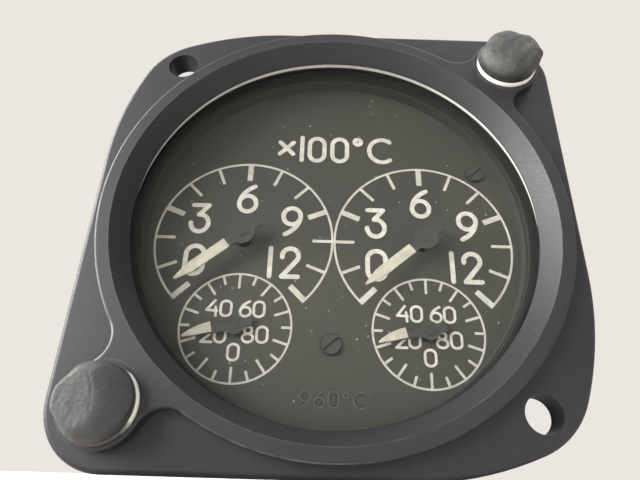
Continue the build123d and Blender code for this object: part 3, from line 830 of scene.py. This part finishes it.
def paintFigures(name, placed, stroke, rise=strokeLook["rise"], material=figurePaint):
    holder = drawFigures(name, placed, stroke)
    values = {"Width": stroke * mm, "Height": rise, "Material": material}
    piece = bakeTree(holder, paintStroke, values, name, "instrument")
    standUp(piece.data, dialFront - rise / 2)


for side in sides:
    for kind, look in (("coarse", coarseFigures), ("fine", fineFigures)):
        placed = shifted(look["figures"], hubs[kind][side])
        paintFigures(side + kind.capitalize() + "Figures", placed, look["stroke"])
paintFigures("unitLegend", unitLegend["figures"], unitLegend["stroke"])
# The range mark's painted shade and painted highlight, each one flat colour of dial paint
for layer, look in rangeStamp["layers"].items():
    paint = dialPaint(layer + "Stamp", look["paint"], look["paint"], dialLook["stampRoughness"])
    paintFigures(layer + "Stamp", rangeStamp["figures"], look["stroke"], look["rise"], paint)
print("figures painted")


# Lamp caps: sealed by hand with thick dark paint, so no two are alike
capPaint = {
    "upper": {
        "base": colour(66, 66, 65), "dark": colour(44, 44, 46), "light": colour(104, 104, 99),
        "bumpStrength": 0.75,
    },
    "lower": {
        "base": colour(60, 60, 60), "dark": colour(50, 50, 51), "light": colour(76, 76, 74),
        "bumpStrength": 0.28,
    },
    "roughness": (0.52, 0.74),
    "lumpScale": 300.0,
    "darkSpread": (0.30, 0.55),
    "lightSpread": (0.58, 0.80),
    "lightShare": 0.7,
    "lumpHeight": 1.6,
    "fineScale": 2200.0,
    "fineHeight": 0.35,
    "bumpDepth": 0.3 * mm,
}
capMesh = {
    "rings": 48,
    "spokes": 132,
    "ringPower": 0.9,
    "fadePower": 8,
    "lumpSize": 1.7 * mm,
    "fineSize": 0.55 * mm,
    "fineRise": 0.03 * mm,
    "fineSeed": 2.7,
    "skin": 0.01 * mm,
    "upright": 0.3,
}
upperCapLook = {
    "radius": 5.6 * mm,
    "shift": (-0.10 * mm, 0.0),
    "lean": (0.78 * mm, -0.05 * mm),
    "lumpRise": 0.16 * mm,
    "seed": 3.0,
    "flats": [(150, 5.15 * mm), (72, 5.2 * mm)],
    "knob": {"at": -4, "width": 7, "rise": 0.35 * mm},
    "wall": 0.42,
    "dome": 4.5,
}
lowerCapLook = {
    "radius": 5.55 * mm,
    "shift": (-0.08 * mm, 0.05 * mm),
    "lean": (-0.05 * mm, 0.0),
    "lumpRise": 0.06 * mm,
    "seed": 11.0,
    "flats": [(222, 5.0 * mm), (140, 5.2 * mm)],
    "knob": {"at": 262, "width": 7, "rise": 0.15 * mm},
    "wall": 0.18,
    "dome": 6.0,
    "faceLeft": 0.86,
    "faceCrease": 0.98,
    "creaseX": 0.9 * mm,
    "creaseZ": -1.0 * mm,
    "creaseBow": 0.060 / mm,
    "groove": 0.05 * mm,
    "grooveWidth": 0.18 * mm,
    "grooveFoot": -1.5 * mm,
    "fall": 0.11 / mm,
}


def capMastic(name, look):
    # Brushed-on dark sealing paint: lumpy, rubbed lighter on its high spots
    material, tree, shader = newMaterial(name)
    lumpy = grain(tree, capPaint["lumpScale"], detail=6.0, roughness=0.6)
    fine = grain(tree, capPaint["fineScale"], detail=5.0)
    tone = blendColours(tree, ramp(tree, lumpy, *capPaint["darkSpread"]), look["dark"], look["base"])
    rubbed = ramp(tree, lumpy, *capPaint["lightSpread"], 0.0, capPaint["lightShare"])
    tone = blendColours(tree, rubbed, tone, look["light"])
    roughness = ramp(tree, fine, *grainSpan, *capPaint["roughness"])
    setInputs(tree, shader, Base_Color=tone, Roughness=roughness)
    high = maths(tree, "MULTIPLY", lumpy, capPaint["lumpHeight"])
    height = maths(tree, "ADD", high, maths(tree, "MULTIPLY", fine, capPaint["fineHeight"]))
    bump(tree, shader, height, look["bumpStrength"], capPaint["bumpDepth"])
    return material


def domeHeight(look, x, z):
    # Share of the full height over a nearly straight wall
    share = min(math.hypot(x, z) / look["radius"], 1.0)
    return look["wall"] + (1.0 - look["wall"]) * math.sqrt(max(1.0 - share ** look["dome"], 0.0))


def upperCrown(x, z, height):
    return height * domeHeight(upperCapLook, x, z)


def lowerCrown(x, z, height):
    # A flat face that rises to a bowed crease, then a long slope down to the right
    look = lowerCapLook
    radius = look["radius"]
    crease = look["creaseX"] - look["creaseBow"] * (z - look["creaseZ"]) ** 2
    climb = min((x + radius) / (crease + radius), 1.0)
    rise = look["faceLeft"] + (look["faceCrease"] - look["faceLeft"]) * climb
    face = height * rise - look["fall"] * max(x - crease, 0.0) ** 2
    if z > look["grooveFoot"]:
        face -= look["groove"] * math.exp(-((x - crease) / look["grooveWidth"]) ** 2)
    return min(face, height * domeHeight(look, x, z))


def capReach(look, turn):
    # How far the cap reaches at this angle: a round outline with flats and one blob of paint
    reach = look["radius"]
    for angle, distance in look["flats"]:
        facing = math.cos(turn - math.radians(angle))
        if facing > 0.5:
            reach = min(reach, distance / facing)
    knob = look["knob"]
    away = (math.degrees(turn) - knob["at"] + 180) % 360 - 180
    return reach + knob["rise"] * math.exp(-(away / knob["width"]) ** 2)


def lumps(x, z, look):
    coarse = noise.noise(Vector((x, z, look["seed"])) / capMesh["lumpSize"])
    fine = noise.noise(Vector((x, z, look["seed"] * capMesh["fineSeed"])) / capMesh["fineSize"])
    return coarse * look["lumpRise"] + fine * capMesh["fineRise"]


def makeCap(name, centre, look, crown, material):
    # Rings of points from the middle of the crown out to the wall and down to the rim
    cap = bmesh.new()
    height = rimFront - capFront
    skin, upright = capMesh["skin"], capMesh["upright"]
    count = capMesh["spokes"]
    turns = [2 * math.pi * spoke / count for spoke in range(count)]
    reaches = [capReach(look, turn) for turn in turns]

    def point(x, z, rise):
        lean = max(rise / height - upright, 0.0) / (1.0 - upright)
        return cap.verts.new((
            centre[0] + look["shift"][0] + look["lean"][0] * lean + x,
            rimFront - rise,
            centre[1] + look["shift"][1] + look["lean"][1] * lean + z,
        ))

    rings = []
    for ring in range(1, capMesh["rings"] + 1):
        share = ring / capMesh["rings"]
        line = []
        for turn, reach in zip(turns, reaches):
            radius = reach * math.sin(share * math.pi / 2) ** capMesh["ringPower"]
            x, z = radius * math.cos(turn), radius * math.sin(turn)
            outwards = look["radius"] / reach  # The crown is worked out on the round outline
            rise = crown(x * outwards, z * outwards, height)
            rise += lumps(x, z, look) * (1.0 - share ** capMesh["fadePower"])
            line.append(point(x, z, min(max(rise, 2 * skin), height - skin)))
        rings.append(line)
    top = point(0.0, 0.0, min(crown(0.0, 0.0, height), height - skin))
    skirt = []
    for turn, reach in zip(turns, reaches):
        skirt.append(point(reach * math.cos(turn), reach * math.sin(turn), -skin / 2))
    rings.append(skirt)
    for spoke in range(count):
        after = (spoke + 1) % count
        cap.faces.new((top, rings[0][spoke], rings[0][after]))
        for inner, outer in zip(rings, rings[1:]):
            cap.faces.new((inner[spoke], outer[spoke], outer[after], inner[after]))
    cap.faces.new(list(reversed(skirt)))
    mesh = closedMesh(name, cap, material)
    for face in mesh.polygons:
        face.use_smooth = len(face.vertices) < 5  # All but the bottom
    piece = addObject(name, mesh)
    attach(piece, "instrument")
    return piece


upperPaint = capMastic("upperCapPaint", capPaint["upper"])
upperCap = makeCap("upperCap", lampCentres["upper"], upperCapLook, upperCrown, upperPaint)
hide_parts("upper_lamp_cap")
lowerPaint = capMastic("lowerCapPaint", capPaint["lower"])
lowerCap = makeCap("lowerCap", lampCentres["lower"], lowerCapLook, lowerCrown, lowerPaint)
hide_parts("lower_lamp_cap")
print("lamp caps made")


# Dust on the dial, behind the glass
dustLook = {
    "count": 120,
    "seed": 7,
    "smallest": 0.05 * mm,
    "largest": 0.20 * mm,
    "radius": 34.0 * mm,
    "lift": 0.02 * mm,
    "fieldSides": 48,
    "mostTurn": (3.0, 3.0, 3.0),
    "pale": colour(196, 196, 186),
    "shade": colour(140, 140, 132),
    "roughness": 0.8,
}


def dustTree():
    tree, given = newTree(
        "dust", Density="Float", Smallest="Float", Largest="Float", Seed="Int", Material="Material",
    )
    spots = addNode(
        tree, "GeometryNodeDistributePointsOnFaces",
        Mesh=given["Geometry"], Density=given["Density"], Seed=given["Seed"],
    )
    size = addNode(
        tree, "FunctionNodeRandomValue", {"data_type": "FLOAT"},
        i2=given["Smallest"], i3=given["Largest"], Seed=given["Seed"],
    )
    turn = addNode(
        tree, "FunctionNodeRandomValue", {"data_type": "FLOAT_VECTOR"},
        i0=(0.0, 0.0, 0.0), i1=dustLook["mostTurn"], Seed=given["Seed"],
    )
    speck = addNode(tree, "GeometryNodeMeshIcoSphere", Radius=1.0, Subdivisions=1)
    grown = addNode(
        tree, "GeometryNodeInstanceOnPoints",
        Points=spots.outputs["Points"], Instance=speck.outputs["Mesh"], Scale=size.outputs[1],
    )
    tumbled = addNode(
        tree, "GeometryNodeRotateInstances", Instances=grown.outputs[0], Rotation=turn.outputs[0],
    )
    endTree(tree, tumbled.outputs[0], given["Material"])
    return tree


def scatterDust():
    look = dustLook
    radius, count = look["radius"], look["fieldSides"]
    turns = [2 * math.pi * n / count for n in range(count)]
    field = bpy.data.meshes.new("dustField")
    ring = [(radius * math.cos(turn), radius * math.sin(turn), 0.0) for turn in turns]
    field.from_pydata(ring, [], [tuple(range(count))])
    values = {
        "Density": look["count"] / (math.pi * radius ** 2),
        "Smallest": look["smallest"],
        "Largest": look["largest"],
        "Seed": look["seed"],
        "Material": matteSolid("dust", look["pale"], look["shade"], look["roughness"]),
    }
    holder = addObject("dustField", field)
    piece = bakeTree(holder, dustTree(), values, "dialDust", "instrument")
    standUp(piece.data, dialFront - look["lift"])


scatterDust()
print("dust scattered")


# Thread on the rear connector
threadLook = {
    "pitch": 1.0 * mm,
    "rise": 0.28 * mm,
    "wall": 1.4 * mm,
    "start": 3.4 * mm,
    "end": 0.5 * mm,
    "stepsPerTurn": 48,
    "ridgeSides": 4,
}


def threadTree():
    tree, given = newTree(
        "thread", Radius="Float", Length="Float", Turns="Float", Rise="Float", Material="Material",
    )
    helix = addNode(
        tree, "GeometryNodeCurveSpiral", Resolution=threadLook["stepsPerTurn"], Rotations=given["Turns"],
        Start_Radius=given["Radius"], End_Radius=given["Radius"], Height=given["Length"],
    ).outputs[0]
    ridge = addNode(
        tree, "GeometryNodeCurvePrimitiveCircle", {"mode": "RADIUS"},
        Resolution=threadLook["ridgeSides"], Radius=given["Rise"],
    ).outputs[0]
    swept = addNode(tree, "GeometryNodeCurveToMesh", Curve=helix, Profile_Curve=ridge, Fill_Caps=True)
    endTree(tree, swept.outputs[0], given["Material"])
    return tree


def cutThread():
    look = threadLook
    low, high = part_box("connector_shell")
    length = high[1] - low[1] - look["start"] - look["end"]
    values = {
        "Radius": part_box("connector_insert")[1][0] + look["wall"],
        "Length": length,
        "Turns": float(round(length / look["pitch"])),
        "Rise": look["rise"],
        "Material": nodes["connector_shell"].material_slots[0].material,
    }
    holder = addObject("threadSeat", bpy.data.meshes.new("threadSeat"))
    piece = bakeTree(holder, threadTree(), values, "connectorThread", "instrument")
    standUp(piece.data, high[1] - look["end"])


cutThread()
print("thread cut")


# Floor, background, light and camera
stageLook = {
    "floorHalf": 2.0,
    "floorRoughness": 0.8,
    "pale": colour(236, 230, 224),
    "ambient": colour(205, 208, 214),
    "ambientStrength": 0.52,
    "lamps": {
        "leftPanel": {
            "at": (-0.62, -0.12, 0.20), "size": (0.20, 0.80), "watts": 12.5, "tint": (1.0, 0.995, 0.97),
        },
        "frontPanel": {
            "at": (-0.72, -0.60, 0.24), "size": (0.45, 0.45), "watts": 9.0, "tint": (1.0, 1.0, 0.98),
        },
        "topPanel": {
            "at": (0.28, -0.10, 0.62), "size": (0.45, 0.30), "watts": 1.7, "tint": (1.0, 1.0, 1.0),
        },
    },
    "cameraAt": (-2.48 * mm, -82.2 * mm, -42.35 * mm),
    "cameraLook": (-0.0007, 0.903, 0.4298),
    "cameraUp": (-0.03, -0.432, 0.901),
    "lens": 28.38,
    "sensor": 36.0,
    "clipStart": 5 * mm,
}


def layFloor():
    half, under = stageLook["floorHalf"], cadBox[0][2]
    corners = [(-half, -half, under), (half, -half, under), (half, half, under), (-half, half, under)]
    mesh = bpy.data.meshes.new("floor")
    mesh.from_pydata(corners, [], [(0, 1, 2, 3)])
    material, tree, shader = newMaterial("paleFloor")
    setInputs(tree, shader, Base_Color=stageLook["pale"], Roughness=stageLook["floorRoughness"])
    mesh.materials.append(material)
    floor = addObject("floor", mesh)


def lightWorld():
    # The pale background shows to the camera, in gloss and through glass; the rest is soft light
    world = bpy.data.worlds.new("studio")
    bpy.context.scene.world = world
    world.use_nodes = True
    tree = world.node_tree
    tree.nodes.clear()
    path = addNode(tree, "ShaderNodeLightPath").outputs
    mirrored = maths(tree, "MAXIMUM", path["Is Glossy Ray"], path["Is Transmission Ray"])
    seen = maths(tree, "MAXIMUM", path["Is Camera Ray"], mirrored)
    soft = {"Color": stageLook["ambient"], "Strength": stageLook["ambientStrength"]}
    ambient = addNode(tree, "ShaderNodeBackground", **soft).outputs[0]
    pale = addNode(tree, "ShaderNodeBackground", Color=stageLook["pale"], Strength=1.0).outputs[0]
    mix = addNode(tree, "ShaderNodeMixShader", i0=seen, i1=ambient, i2=pale)
    addNode(tree, "ShaderNodeOutputWorld", i0=mix.outputs[0])


def hangLamps():
    for name, look in stageLook["lamps"].items():
        lamp = bpy.data.lights.new(name, "AREA")
        lamp.shape = "RECTANGLE"
        lamp.size, lamp.size_y = look["size"]
        lamp.energy = look["watts"]
        lamp.color = look["tint"]
        holder = addObject(name, lamp)
        holder.location = look["at"]
        holder.rotation_euler = (-Vector(look["at"])).to_track_quat("-Z", "Y").to_euler()


def placeCamera():
    data = bpy.data.cameras.new("camera")
    data.lens = stageLook["lens"]
    data.sensor_width = stageLook["sensor"]
    data.clip_start = stageLook["clipStart"]
    holder = addObject("camera", data)
    back = -Vector(stageLook["cameraLook"]).normalized()
    right = Vector(stageLook["cameraUp"]).cross(back).normalized()
    turn = Matrix((right, back.cross(right), back)).transposed().to_4x4()
    holder.matrix_world = Matrix.Translation(stageLook["cameraAt"]) @ turn
    bpy.context.scene.camera = holder


layFloor()
lightWorld()
hangLamps()
placeCamera()
bpy.context.scene.view_settings.view_transform = "Standard"
print("stage set")
